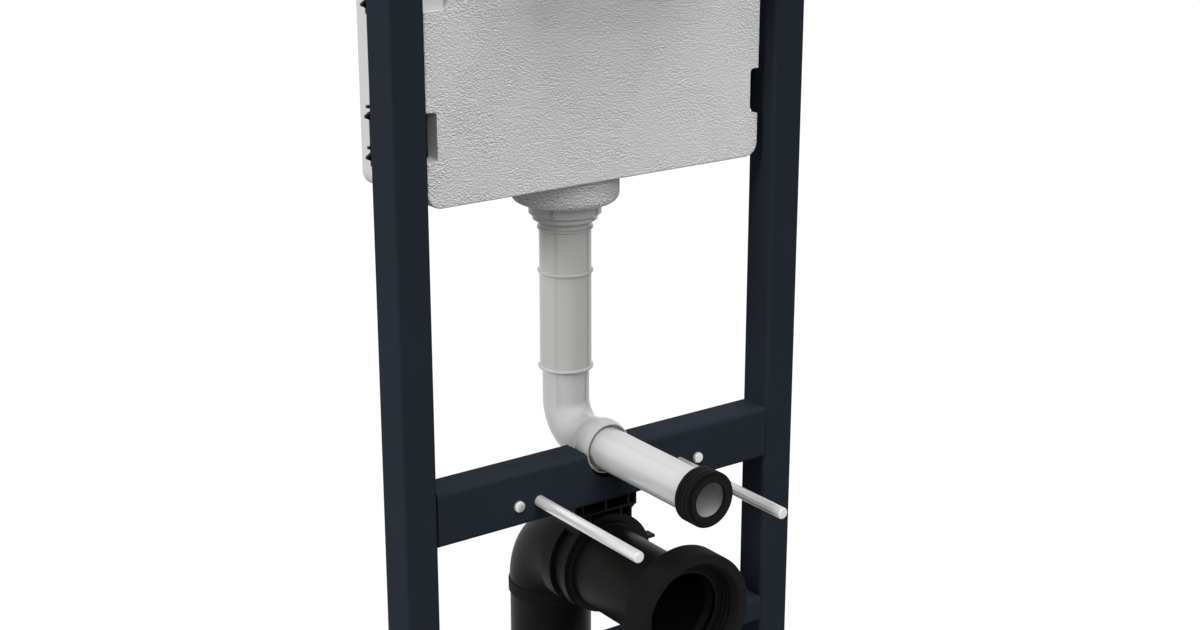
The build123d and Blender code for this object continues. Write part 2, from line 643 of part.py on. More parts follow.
with BuildPart() as elbow:
    with BuildLine() as route:
        FilletPolyline((MIDDLE_X, FLUSH_Y, UNION_SEAT_Z), (MIDDLE_X, FLUSH_Y, FLUSH_Z),
                       (MIDDLE_X, SOCKET_BACK_Y, FLUSH_Z), radius=ELBOW_BEND)
    with BuildSketch(Plane(origin=route.line @ 0, z_dir=route.line % 0)):
        Circle(ELBOW_PIPE / 2)
        Circle(ELBOW_PIPE / 2 - FLUSH_WALL, mode=Mode.SUBTRACT)
    sweep(path=route.line)
    with BuildSketch(turned_forward(MIDDLE_X, FLUSH_Z)):
        with BuildLine():
            ThreePointArc(
                (SOCKET_BACK_Y, ELBOW_PIPE / 2),
                (SOCKET_BULGE_Y, SOCKET / 2),
                (SOCKET_MOUTH_Y, SOCKET_MOUTH / 2))
            Polyline(
                (SOCKET_MOUTH_Y, SOCKET_MOUTH / 2),
                (SOCKET_MOUTH_Y, SOCKET_MOUTH / 2 - SOCKET_RIM_WALL),
                (SOCKET_MOUTH_Y + SOCKET_RIM_DEPTH, SOCKET_MOUTH / 2 - SOCKET_RIM_WALL),
                (SOCKET_MOUTH_Y + SOCKET_RIM_DEPTH, FLUSH_PIPE / 2 + FIT),
                (FLUSH_PIPE_BACK_Y, FLUSH_PIPE / 2 + FIT),
                (FLUSH_PIPE_BACK_Y, ELBOW_PIPE / 2 - FLUSH_WALL),
                (SOCKET_BACK_Y, ELBOW_PIPE / 2 - FLUSH_WALL),
                (SOCKET_BACK_Y, ELBOW_PIPE / 2))
        make_face()
    revolve(axis=Axis((MIDDLE_X, 0, FLUSH_Z), (0, 1, 0)))
finish(elbow, "flush_elbow")

with BuildPart() as flush_pipe:
    with BuildSketch(Plane.XZ.offset(-FLUSH_PIPE_BACK_Y)):
        with Locations((MIDDLE_X, FLUSH_Z)):
            Circle(FLUSH_PIPE / 2)
            Circle(FLUSH_PIPE / 2 - FLUSH_WALL, mode=Mode.SUBTRACT)
    extrude(amount=FLUSH_PIPE_BACK_Y - FLUSH_PIPE_END_Y)
finish(flush_pipe, "flush_pipe")

with BuildPart() as seal:
    with BuildSketch(turned_forward(MIDDLE_X, FLUSH_Z)):
        with BuildLine():
            Polyline(
                (SEAL_BACK_Y, FLUSH_PIPE / 2),
                (SEAL_BACK_Y, SEAL / 2),
                (SEAL_FRONT_Y + SEAL_LIP_LENGTH, SEAL / 2),
                (SEAL_FRONT_Y + SEAL_LIP_LENGTH, SEAL_LIP / 2),
                (SEAL_FRONT_Y, SEAL_LIP / 2),
                (SEAL_FRONT_Y, SEAL_BORE / 2 + SEAL_EDGE),
                (SEAL_FRONT_Y + SEAL_EDGE, SEAL_BORE / 2),
                (FLUSH_PIPE_END_Y, SEAL_BORE / 2),
                (FLUSH_PIPE_END_Y, FLUSH_PIPE / 2),
                close=True)
        make_face()
        for back, width in SEAL_GROOVES:
            with BuildLine():
                Polyline(
                    (SEAL_FRONT_Y + back - width / 2, SEAL / 2),
                    (SEAL_FRONT_Y + back, SEAL / 2 - SEAL_GROOVE_DEPTH),
                    (SEAL_FRONT_Y + back + width / 2, SEAL / 2),
                    close=True)
            make_face(mode=Mode.SUBTRACT)
    revolve(axis=Axis((MIDDLE_X, 0, FLUSH_Z), (0, 1, 0)))
finish(seal, "flush_seal")

# Waste: bend, pipe, joint ring, pan connector and its collar
WASTE_JOINT_Z = WASTE_Z - WASTE_BEND - JOINT_RING_HEIGHT
WASTE_SOCKET = WASTE_PIPE + 2 * WASTE_SOCKET_WALL
BEND_OUTER = WASTE_PIPE / 2 + WASTE_BEND_STEP
BEND_BORE = WASTE_PIPE / 2 - WASTE_WALL

with BuildPart() as bend:
    with BuildLine() as route:
        FilletPolyline((MIDDLE_X, WASTE_Y, WASTE_JOINT_Z), (MIDDLE_X, WASTE_Y, WASTE_Z),
                       (MIDDLE_X, WASTE_SOCKET_BACK_Y + WASTE_SOCKET_CONE, WASTE_Z),
                       radius=WASTE_BEND)
    with BuildSketch(Plane(origin=route.line @ 0, z_dir=route.line % 0)):
        Circle(BEND_OUTER)
        Circle(BEND_BORE, mode=Mode.SUBTRACT)
    sweep(path=route.line)
    with BuildSketch(turned_forward(MIDDLE_X, WASTE_Z)):
        with BuildLine():
            Polyline(
                (WASTE_SOCKET_BACK_Y + WASTE_SOCKET_CONE, BEND_BORE),
                (WASTE_SOCKET_BACK_Y + WASTE_SOCKET_CONE, BEND_OUTER),
                (WASTE_SOCKET_BACK_Y, WASTE_SOCKET / 2),
                (WASTE_MOUTH_Y, WASTE_SOCKET / 2),
                (WASTE_MOUTH_Y, WASTE_PIPE / 2 + FIT),
                (WASTE_MOUTH_Y + CONNECTOR_TAIL, WASTE_PIPE / 2 + FIT),
                (WASTE_MOUTH_Y + CONNECTOR_TAIL, BEND_BORE),
                close=True)
        make_face()
    revolve(axis=Axis((MIDDLE_X, 0, WASTE_Z), (0, 1, 0)))
finish(bend, "waste_bend")

with BuildPart() as waste_pipe:
    with BuildSketch(Plane.XY.offset(WASTE_END_Z)):
        with Locations((MIDDLE_X, WASTE_Y)):
            Circle(WASTE_PIPE / 2)
            Circle(BEND_BORE, mode=Mode.SUBTRACT)
    extrude(amount=WASTE_JOINT_Z - WASTE_END_Z)
finish(waste_pipe, "waste_pipe")

RING_MIDDLE_Z = WASTE_JOINT_Z + JOINT_RING_HEIGHT / 2
RING_TOP_Z = WASTE_JOINT_Z + JOINT_RING_HEIGHT
RING_OUTER = BEND_OUTER + JOINT_RING_WALL

with BuildPart() as joint_ring:
    with BuildSketch(turned_upright(MIDDLE_X, WASTE_Y)):
        with BuildLine():
            Polyline(
                (BEND_OUTER, WASTE_JOINT_Z),
                (RING_OUTER - JOINT_RING_EDGE, WASTE_JOINT_Z),
                (RING_OUTER, WASTE_JOINT_Z + JOINT_RING_EDGE),
                (RING_OUTER, RING_MIDDLE_Z - JOINT_GROOVE_WIDTH / 2),
                (RING_OUTER - JOINT_GROOVE_DEPTH, RING_MIDDLE_Z),
                (RING_OUTER, RING_MIDDLE_Z + JOINT_GROOVE_WIDTH / 2),
                (RING_OUTER, RING_TOP_Z - JOINT_RING_EDGE),
                (RING_OUTER - JOINT_RING_EDGE, RING_TOP_Z),
                (BEND_OUTER, RING_TOP_Z),
                close=True)
        make_face()
    revolve(axis=Axis((MIDDLE_X, WASTE_Y, 0), (0, 0, 1)))
finish(joint_ring, "waste_joint_ring")

CONNECTOR_END_Y = COLLAR_BACK_Y - COLLAR_GRIP

with BuildPart() as connector:
    with BuildSketch(Plane.XZ.offset(-(WASTE_MOUTH_Y + CONNECTOR_TAIL))):
        with Locations((MIDDLE_X, WASTE_Z)):
            Circle(WASTE_PIPE / 2)
            Circle(BEND_BORE, mode=Mode.SUBTRACT)
    extrude(amount=WASTE_MOUTH_Y + CONNECTOR_TAIL - CONNECTOR_END_Y)
finish(connector, "pan_connector")

LIP_ROOT_Y = COLLAR_FRONT_Y + LIP_ROOT
LIP_ROOT_RADIUS = COLLAR_SEAT / 2 - COLLAR_RIDGES[-1][1]

with BuildPart() as pan_collar:
    with BuildSketch(turned_forward(MIDDLE_X, WASTE_Z)):
        with BuildLine():
            outline = [
                (COLLAR_BACK_Y, WASTE_PIPE / 2),
                (COLLAR_BACK_Y, COLLAR / 2 - COLLAR_BACK_EDGE),
                (COLLAR_BACK_Y - COLLAR_BACK_EDGE, COLLAR / 2),
                (COLLAR_FRONT_Y + COLLAR_FRONT_EDGE, COLLAR / 2),
                (COLLAR_FRONT_Y, COLLAR / 2 - COLLAR_FRONT_EDGE),
                (COLLAR_FRONT_Y, COLLAR_SEAT / 2 + COLLAR_MOUTH_STEP),
                (COLLAR_FRONT_Y + COLLAR_MOUTH_STEP, COLLAR_SEAT / 2)]
            radius = COLLAR_SEAT / 2
            for depth, step in COLLAR_RIDGES:
                outline.append((COLLAR_FRONT_Y + depth, radius))
                radius = COLLAR_SEAT / 2 - step
                outline.append((COLLAR_FRONT_Y + depth, radius))
            outline += [
                (LIP_ROOT_Y, LIP_ROOT_RADIUS),
                (LIP_ROOT_Y - LIP_LEAN, LIP_ROOT_RADIUS - LIP_REACH),
                (LIP_ROOT_Y - LIP_LEAN + LIP_THICKNESS, LIP_ROOT_RADIUS - LIP_REACH),
                (LIP_ROOT_Y + LIP_THICKNESS, COLLAR_CHAMBER / 2),
                (CONNECTOR_END_Y, COLLAR_CHAMBER / 2),
                (CONNECTOR_END_Y, WASTE_PIPE / 2)]
            Polyline(*outline, close=True)
        make_face()
    revolve(axis=Axis((MIDDLE_X, 0, WASTE_Z), (0, 1, 0)))
finish(pan_collar, "pan_connector_collar")

# Clip that hangs the waste socket under the pan rail: a ribbed box over two snap-on bands
CLIP_BORE = WASTE_SOCKET / 2 + FIT
CLIP_DEPTH = CLIP_BACK_BAND[1] - CLIP_FRONT_BAND[0]
CLIP_MIDDLE_Y = (CLIP_BACK_BAND[1] + CLIP_FRONT_BAND[0]) / 2
CLIP_SHELF_Z = PAN_RAIL_BASE_Z - CLIP_BOX_HEIGHT
CLIP_CORNER_X = CLIP_BOX / 2 - CLIP_CORNER
BANDS = ((CLIP_FRONT_BAND, (CLIP_BODY_X, CLIP_BODY_Z), CLIP_BODY_WALL),
         (CLIP_BACK_BAND, (0, 0), CLIP_BAND_WALL))

with BuildPart() as waste_clip:
    with BuildSketch(Plane.XY.offset(PAN_RAIL_BASE_Z)):
        with Locations((MIDDLE_X, CLIP_MIDDLE_Y)):
            Rectangle(CLIP_BOX, CLIP_DEPTH)
    extrude(amount=-CLIP_TOP_PLATE)
    with BuildSketch(Plane.XY.offset(PAN_RAIL_BASE_Z)):
        wall_x = CLIP_BOX / 2 - CLIP_RIB / 2
        for rib_x in (-wall_x, *CLIP_UPPER_RIBS, wall_x):
            with Locations((MIDDLE_X + rib_x, CLIP_MIDDLE_Y)):
                Rectangle(CLIP_RIB, CLIP_DEPTH)
        with Locations((MIDDLE_X, CLIP_BACK_BAND[1] - CLIP_RIB / 2)):
            Rectangle(CLIP_BOX, CLIP_RIB)
    extrude(amount=-CLIP_BOX_HEIGHT)
    with BuildSketch(Plane.XZ.offset(-CLIP_BACK_BAND[1])):
        with BuildLine():
            Polyline(
                (MIDDLE_X - CLIP_BOX / 2, CLIP_SHELF_Z + CLIP_RIB),
                (MIDDLE_X + CLIP_BOX / 2, CLIP_SHELF_Z + CLIP_RIB),
                (MIDDLE_X + CLIP_BOX / 2, CLIP_SHELF_Z + CLIP_RIB / 2),
                (MIDDLE_X + CLIP_CORNER_X, CLIP_SHELF_Z - CLIP_CORNER_DROP + CLIP_RIB / 2),
                (MIDDLE_X + CLIP_CORNER_X, WASTE_Z),
                (MIDDLE_X + CLIP_CORNER_X - CLIP_RIB, WASTE_Z),
                (MIDDLE_X + CLIP_CORNER_X - CLIP_RIB, CLIP_SHELF_Z),
                (MIDDLE_X - CLIP_CORNER_X + CLIP_RIB, CLIP_SHELF_Z),
                (MIDDLE_X - CLIP_CORNER_X + CLIP_RIB, WASTE_Z),
                (MIDDLE_X - CLIP_CORNER_X, WASTE_Z),
                (MIDDLE_X - CLIP_CORNER_X, CLIP_SHELF_Z - CLIP_CORNER_DROP + CLIP_RIB / 2),
                (MIDDLE_X - CLIP_BOX / 2, CLIP_SHELF_Z + CLIP_RIB / 2),
                close=True)
        make_face()
        for rib_x in CLIP_LOWER_RIBS:
            with Locations((MIDDLE_X + rib_x, (WASTE_Z + CLIP_SHELF_Z) / 2)):
                Rectangle(CLIP_RIB, CLIP_SHELF_Z - WASTE_Z)
    extrude(amount=CLIP_DEPTH)
    for (front_y, back_y), (shift_x, shift_z), wall in BANDS:
        with BuildSketch(Plane.XZ.offset(-back_y)):
            with Locations((MIDDLE_X + shift_x, WASTE_Z + shift_z)):
                Circle(CLIP_BORE + wall)
            with Locations((MIDDLE_X, WASTE_Z - CLIP_GAP_DROP)):
                Rectangle(2 * WASTE_SOCKET, WASTE_SOCKET, align=(Align.CENTER, Align.MAX),
                          mode=Mode.SUBTRACT)
        extrude(amount=back_y - front_y)
    with BuildSketch(Plane.XZ.offset(-CLIP_FRONT_BAND[0] - EAR_DEPTH)):
        with Locations((MIDDLE_X + CLIP_BORE, WASTE_Z + EAR_RISE)):
            Rectangle(EAR_LENGTH, EAR_THICKNESS, align=(Align.MIN, Align.MIN))
    extrude(amount=EAR_DEPTH)
    with BuildSketch(Plane.XZ.offset(-CLIP_BACK_BAND[1])):
        with Locations((MIDDLE_X, WASTE_Z)):
            Circle(CLIP_BORE)
    extrude(amount=CLIP_DEPTH, mode=Mode.SUBTRACT)
finish(waste_clip, "waste_clip")
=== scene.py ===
"""Finish of a wall hung toilet frame: powder coated steel, crinkled foam, pipes, seals and studs."""
import json
import math

import bmesh
import bpy
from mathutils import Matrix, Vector


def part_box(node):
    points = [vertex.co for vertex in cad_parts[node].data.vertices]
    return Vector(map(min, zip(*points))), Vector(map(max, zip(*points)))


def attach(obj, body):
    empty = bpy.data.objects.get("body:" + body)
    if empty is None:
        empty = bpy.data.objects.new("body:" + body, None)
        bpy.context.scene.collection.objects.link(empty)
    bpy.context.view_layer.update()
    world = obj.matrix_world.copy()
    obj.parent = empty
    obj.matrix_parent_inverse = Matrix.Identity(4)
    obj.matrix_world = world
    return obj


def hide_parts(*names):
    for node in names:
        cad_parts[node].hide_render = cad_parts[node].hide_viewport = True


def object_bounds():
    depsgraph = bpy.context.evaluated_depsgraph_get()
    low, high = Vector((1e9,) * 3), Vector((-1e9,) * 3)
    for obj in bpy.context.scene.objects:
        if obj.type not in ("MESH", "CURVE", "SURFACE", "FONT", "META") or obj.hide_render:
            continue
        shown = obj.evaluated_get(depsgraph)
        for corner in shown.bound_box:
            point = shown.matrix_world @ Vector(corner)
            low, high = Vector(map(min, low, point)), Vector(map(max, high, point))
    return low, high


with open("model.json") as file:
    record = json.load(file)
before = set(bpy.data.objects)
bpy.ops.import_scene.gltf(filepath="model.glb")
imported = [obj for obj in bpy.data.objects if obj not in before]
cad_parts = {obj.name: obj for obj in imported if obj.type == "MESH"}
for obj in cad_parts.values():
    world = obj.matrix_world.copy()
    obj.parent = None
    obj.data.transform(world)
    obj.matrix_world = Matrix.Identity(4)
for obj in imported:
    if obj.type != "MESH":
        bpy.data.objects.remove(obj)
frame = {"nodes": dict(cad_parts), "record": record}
NODES = frame["nodes"]
CAD_LOW, CAD_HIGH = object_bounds()

# Lengths are in metres. Names that end in STEPS are divisions of a full turn or of a bead.

# Threads. The profile is one pitch: the share of the pitch, and whether the point is on the crest
STUD_PITCH = 0.00175
STUD_DEPTH = 0.0007
ROD_PITCH = 0.0015
ROD_DEPTH = 0.0006
THREAD_STEPS = 28
THREAD_PROFILE = ((0.0, False), (0.15, False), (0.5, True), (0.62, True), (0.97, False), (1.0, False))
SPARE_TURNS = 3
END_TAPER = 0.0012
END_SINK = 0.0002

# Studs. The arc rounds the front edge, as shares of STUD_EDGE along the stud and inward. The plain
# shank ends and the thread starts this far in front of the rail's back
STUD_SHANK = 0.0057
STUD_EDGE = 0.0022
EDGE_ARC = ((0.0, 1.0), (0.13, 0.5), (0.5, 0.13), (1.0, 0.0))
STUD_STEPS = 48
SHANK_END = 0.004
THREAD_START = 0.005

# Foam. The crinkle's scales are per metre, and each range is of the noise's value. The crinkle's painted
# highlight and shade come from its difference to a copy of it moved up by the shift
CRINKLE_ACROSS = 570
CRINKLE_UP = 640
CRINKLE_HEIGHT = 0.00105
PAINTED_LIGHT_SHIFT = 0.35
CRINKLE_NOISE = {"detail": 1.5, "rough": 0.5, "warp": 0.6}
CRINKLE_RANGE = (0.36, 0.62)
PAINTED_LIGHT_RANGE = (-0.12, 0.12)
PATCH_RANGE = (0.35, 0.6)
PATCH_STRENGTH = (0.5, 0.85)
SKIN_DEPTH = 0.002
SMOOTH_FOAM_SHADE = 0.36

# Pan collar. Points are (depth behind the collar's front, radius)
COLLAR_STEPS = 128
COLLAR_RADIUS = 0.0675
COLLAR_BACK_RADIUS = 0.0638
COLLAR_BACK_SLOPE = 0.0037
COLLAR_RIM = ((0.0004, COLLAR_RADIUS), (0, 0.0671), (0, 0.0578), (0.0006, 0.0572))
COLLAR_CRESTS = ((0.0094, 0.0530), (0.0144, 0.0514), (0.0184, 0.0499))
CREST_FALL = 0.0002
GROOVE_WIDTH = 0.0016
GROOVE_DEPTH = 0.0024
COLLAR_LIP = (
    (0.0190, 0.0454), (0.0202, 0.0452), (0.0186, 0.0446), (0.0183, 0.0414), (0.0187, 0.0409),
    (0.0196, 0.0411), (0.0214, 0.0490), (0.0225, 0.0505), (0.0302, 0.0505), (0.0302, 0.0451),
    (0.0330, 0.0451))

# Pan connector
CONNECTOR_WALL = 0.004
CONNECTOR_EDGE = 0.0003
CONNECTOR_FLARE = 0.0065
CONNECTOR_SETBACK = 0.001

# Waste joint ring
RING_BEADS = 3
RING_BEAD = 0.0048
RING_GROOVE = 0.0014
RING_TOP_GAP = 0.001
RING_CLEARANCE = 0.0005
BEAD_STEPS = 10

# Meshes: tolerances, and the turn past which an edge stays sharp
TINY = 1e-7
ON_PLANE = 1e-6
PITCH_MERGE = 0.01
SHARP_TURN = math.radians(24)

# The photograph's camera. Its lens and sensor are in millimetres
CAMERA_PLACE = (-0.8917, -1.5611, 1.1074)
CAMERA_YAW = math.radians(35.701)
CAMERA_PITCH = math.radians(17.619)
CAMERA_LENS = 59.0
SENSOR_WIDTH = 36.0
CAMERA_REACH = 100

# Surroundings. A lamp has its name, the direction it stands in, its spread in degrees and its strength
WHITE = (1, 1, 1, 1)
FLOOR_REACH = 40
FLOOR_GLOW = 1.15
SURROUNDINGS_LEVEL = 0.06
LAMPS = (
    ("left_light", (-3.2, -0.12, 1.6), 18, 2.7),
    ("front_light", (-0.6, -3.0, 1.8), 34, 1.28),
    ("top_light", (0.1, -1.35, 3.6), 40, 2.15),
    ("back_light", (2.4, 3.0, 0.35), 40, 1.25),
)


# Material building blocks
class Finish:
    """A node material with one principled shader and patterns on object coordinates."""

    def __init__(self, name, color, roughness, metallic=0.0, specular=0.5):
        self.material = bpy.data.materials.new(name)
        self.material.use_nodes = True
        self.tree = self.material.node_tree
        self.shader = self.tree.nodes["Principled BSDF"]
        self.shader.inputs["Base Color"].default_value = (*color, 1)
        self.shader.inputs["Roughness"].default_value = roughness
        self.shader.inputs["Metallic"].default_value = metallic
        self.shader.inputs["Specular IOR Level"].default_value = specular
        self.color = color
        self.roughness = roughness
        self.place = self.node("ShaderNodeTexCoord").outputs["Object"]

    def node(self, kind, **settings):
        made = self.tree.nodes.new(kind)
        for key, value in settings.items():
            setattr(made, key, value)
        return made

    def link(self, start, end):
        self.tree.links.new(start, end)

    def stretched(self, scale, shift=(0, 0, 0)):
        """Object coordinates with their own scale along each axis, then moved by shift."""
        mapping = self.node("ShaderNodeMapping")
        mapping.inputs["Scale"].default_value = scale
        mapping.inputs["Location"].default_value = shift
        self.link(self.place, mapping.inputs["Vector"])
        return mapping.outputs["Vector"]

    def noise(self, scale, detail=3.0, rough=0.5, warp=0.0, vector=None):
        made = self.node("ShaderNodeTexNoise")
        made.inputs["Scale"].default_value = scale
        made.inputs["Detail"].default_value = detail
        made.inputs["Roughness"].default_value = rough
        made.inputs["Distortion"].default_value = warp
        self.link(vector or self.place, made.inputs["Vector"])
        return made.outputs["Fac"]

    def fit(self, value, low, high, start=0.0, end=1.0):
        """Map a value from start..end to low..high."""
        made = self.node("ShaderNodeMapRange")
        made.inputs["From Min"].default_value = start
        made.inputs["From Max"].default_value = end
        made.inputs["To Min"].default_value = low
        made.inputs["To Max"].default_value = high
        self.link(value, made.inputs["Value"])
        return made.outputs["Result"]

    def combine(self, operation, first, second):
        made = self.node("ShaderNodeMath", operation=operation)
        self.link(first, made.inputs[0])
        self.link(second, made.inputs[1])
        return made.outputs[0]

    def vary_color(self, value, dark, light):
        """Mix two shades of the base colour by a pattern; dark and light are factors."""
        mix = self.node("ShaderNodeMix", data_type="RGBA")
        mix.inputs["A"].default_value = (*[c * dark for c in self.color], 1)
        mix.inputs["B"].default_value = (*[c * light for c in self.color], 1)
        self.link(value, mix.inputs["Factor"])
        self.link(mix.outputs["Result"], self.shader.inputs["Base Color"])

    def vary_roughness(self, value, spread):
        self.link(self.fit(value, self.roughness - spread, self.roughness + spread),
                  self.shader.inputs["Roughness"])

    def bump(self, height, distance, strength=1.0, mask=None):
        """Add a bump over whatever bump there is already."""
        made = self.node("ShaderNodeBump")
        made.inputs["Distance"].default_value = distance
        made.inputs["Strength"].default_value = strength
        self.link(height, made.inputs["Height"])
        if mask is not None:
            self.link(mask, made.inputs["Strength"])
        normal = self.shader.inputs["Normal"]
        if normal.is_linked:
            self.link(normal.links[0].from_socket, made.inputs["Normal"])
        self.link(made.outputs["Normal"], normal)


def powder_coat():
    """Satin dark navy powder coat with a faint orange peel."""
    finish = Finish("navy_powder_coat", (0.0187, 0.0234, 0.0314), roughness=0.62, specular=0.01)
    finish.vary_color(finish.noise(scale=7, detail=4), dark=0.9, light=1.1)
    finish.vary_roughness(finish.noise(scale=38, detail=2), spread=0.04)
    finish.bump(finish.noise(scale=900, detail=1), distance=0.00012, strength=0.35)
    return finish.material


def moulded_foam():
    """Pale grey expanded foam: crinkled skin on its front, back and neck with painted highlight and shade
    on the crinkles, smooth sides.
    """
    finish = Finish("moulded_foam", (0.76, 0.76, 0.76), roughness=0.8, specular=0.2)
    scale = (CRINKLE_ACROSS, CRINKLE_ACROSS, CRINKLE_UP)
    crinkle = finish.noise(scale=1.0, vector=finish.stretched(scale), **CRINKLE_NOISE)
    above = finish.noise(scale=1.0, vector=finish.stretched(scale, (0, 0, PAINTED_LIGHT_SHIFT)),
                         **CRINKLE_NOISE)
    wrinkles = finish.fit(crinkle, 0.0, 1.0, *CRINKLE_RANGE)
    # Painted light from above: the colour is lighter where the crinkle falls away upward and darker where
    # it rises
    painted_crinkle_light = finish.fit(finish.combine("SUBTRACT", crinkle, above), 0.0, 1.0, *PAINTED_LIGHT_RANGE)
    beads = finish.noise(scale=210, detail=1)
    patches = finish.fit(finish.noise(scale=26, detail=2), *PATCH_STRENGTH, *PATCH_RANGE)
    front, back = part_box("cistern_front_shell")[0].y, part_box("cistern_rear_shell")[1].y
    apart = finish.node("ShaderNodeSeparateXYZ")
    finish.link(finish.place, apart.inputs["Vector"])
    on_front = finish.fit(apart.outputs["Y"], 1.0, 0.0, front + SKIN_DEPTH / 2, front + SKIN_DEPTH)
    on_back = finish.fit(apart.outputs["Y"], 0.0, 1.0, back - SKIN_DEPTH, back - SKIN_DEPTH / 2)
    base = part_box("cistern_front_shell")[0].z
    on_neck = finish.fit(apart.outputs["Z"], 1.0, 0.0, base - SKIN_DEPTH, base)
    faced = finish.combine("MULTIPLY", finish.combine("MAXIMUM", on_front, on_back), patches)
    skin = finish.combine("MAXIMUM", faced, on_neck)
    # The crinkled skin takes the painted highlight and shade, the smooth sides the fixed level
    # SMOOTH_FOAM_SHADE
    tone_and_painted_light = finish.node("ShaderNodeMix", data_type="FLOAT")
    tone_and_painted_light.inputs["A"].default_value = SMOOTH_FOAM_SHADE
    finish.link(skin, tone_and_painted_light.inputs["Factor"])
    finish.link(painted_crinkle_light, tone_and_painted_light.inputs["B"])
    finish.vary_color(tone_and_painted_light.outputs["Result"], dark=0.45, light=1.5)
    finish.vary_roughness(beads, spread=0.05)
    finish.bump(wrinkles, distance=CRINKLE_HEIGHT, mask=skin)
    finish.bump(beads, distance=0.0006, strength=0.3)
    return finish.material


def plain_plastic(name, color, roughness, specular=0.5, grain=0.25):
    """Moulded plastic: very slight cloudiness, uneven gloss and a very fine grain."""
    finish = Finish(name, color, roughness, specular=specular)
    finish.vary_color(finish.noise(scale=9, detail=2), dark=0.985, light=1.015)
    finish.vary_roughness(finish.noise(scale=30, detail=1), spread=0.015)
    finish.bump(finish.noise(scale=1400, detail=1), distance=0.0001, strength=grain)
    return finish.material


def black_rubber():
    """Matt black rubber with a faint dust."""
    finish = Finish("black_rubber", (0.0048, 0.0048, 0.0048), roughness=0.6, specular=0.07)
    dust = finish.noise(scale=45, detail=5, rough=0.65)
    finish.vary_color(dust, dark=0.8, light=1.5)
    finish.vary_roughness(dust, spread=0.07)
    finish.bump(finish.noise(scale=700, detail=2), distance=0.0002, strength=0.3)
    return finish.material


def plated_or_turned(name, color, roughness, metallic=1.0):
    """Zinc plating or turned brass, slightly cloudy."""
    finish = Finish(name, color, roughness, metallic=metallic)
    finish.vary_color(finish.noise(scale=26, detail=4), dark=0.97, light=1.03)
    finish.vary_roughness(finish.noise(scale=140, detail=3), spread=0.04)
    finish.bump(finish.noise(scale=1100, detail=2), distance=0.00008, strength=0.12)
    return finish.material


NAVY = powder_coat()
FOAM = moulded_foam()
TANK_GREY = plain_plastic("tank_plastic", (0.36, 0.36, 0.36), roughness=0.5)
COVER_WHITE = plain_plastic("cover_plastic", (0.62, 0.62, 0.61), roughness=0.38)
SLEEVE_GREY = plain_plastic("sleeve_plastic", (0.415, 0.415, 0.403), roughness=0.1)
PIPE_WHITE = plain_plastic("pipe_plastic", (0.45, 0.45, 0.447), roughness=0.1)
BLACK_PLASTIC = plain_plastic("black_plastic", (0.0052, 0.0050, 0.0046), roughness=0.42,
                              specular=0.075, grain=0.35)
RUBBER = black_rubber()
ZINC = plated_or_turned("zinc_plated_steel", (0.52, 0.53, 0.54), roughness=0.42)
BRIGHT_STEEL = plated_or_turned("bright_plated_steel", (0.7, 0.7, 0.69), roughness=0.3, metallic=0.5)
BRASS = plated_or_turned("turned_brass", (0.62, 0.45, 0.2), roughness=0.3)

SLOT_FINISH = {
    "navy_steel": NAVY, "zinc_steel": ZINC, "bright_steel": BRIGHT_STEEL,
    "black_plastic": BLACK_PLASTIC, "black_rubber": RUBBER, "cistern_foam": FOAM,
    "tank_grey": TANK_GREY, "cover_white": COVER_WHITE, "pipe_grey": SLEEVE_GREY,
    "pipe_white": PIPE_WHITE, "inlet_brass": BRASS,
}

for part in frame["record"]["subparts"]:
    NODES[part["node"]].data.materials.clear()
    NODES[part["node"]].data.materials.append(SLOT_FINISH[part["material_slot"]])


# New pieces
def piece_from(bm, name, material, slot, *nodes):
    """Turn a bmesh into a piece that rides on the frame and stands for the nodes."""
    bmesh.ops.recalc_face_normals(bm, faces=bm.faces)
    mesh = bpy.data.meshes.new(name)
    bm.to_mesh(mesh)
    bm.free()
    mesh.materials.append(material)
    made = bpy.data.objects.new(name, mesh)
    bpy.context.scene.collection.objects.link(made)
    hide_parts(*nodes)
    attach(made, "root")
    return made


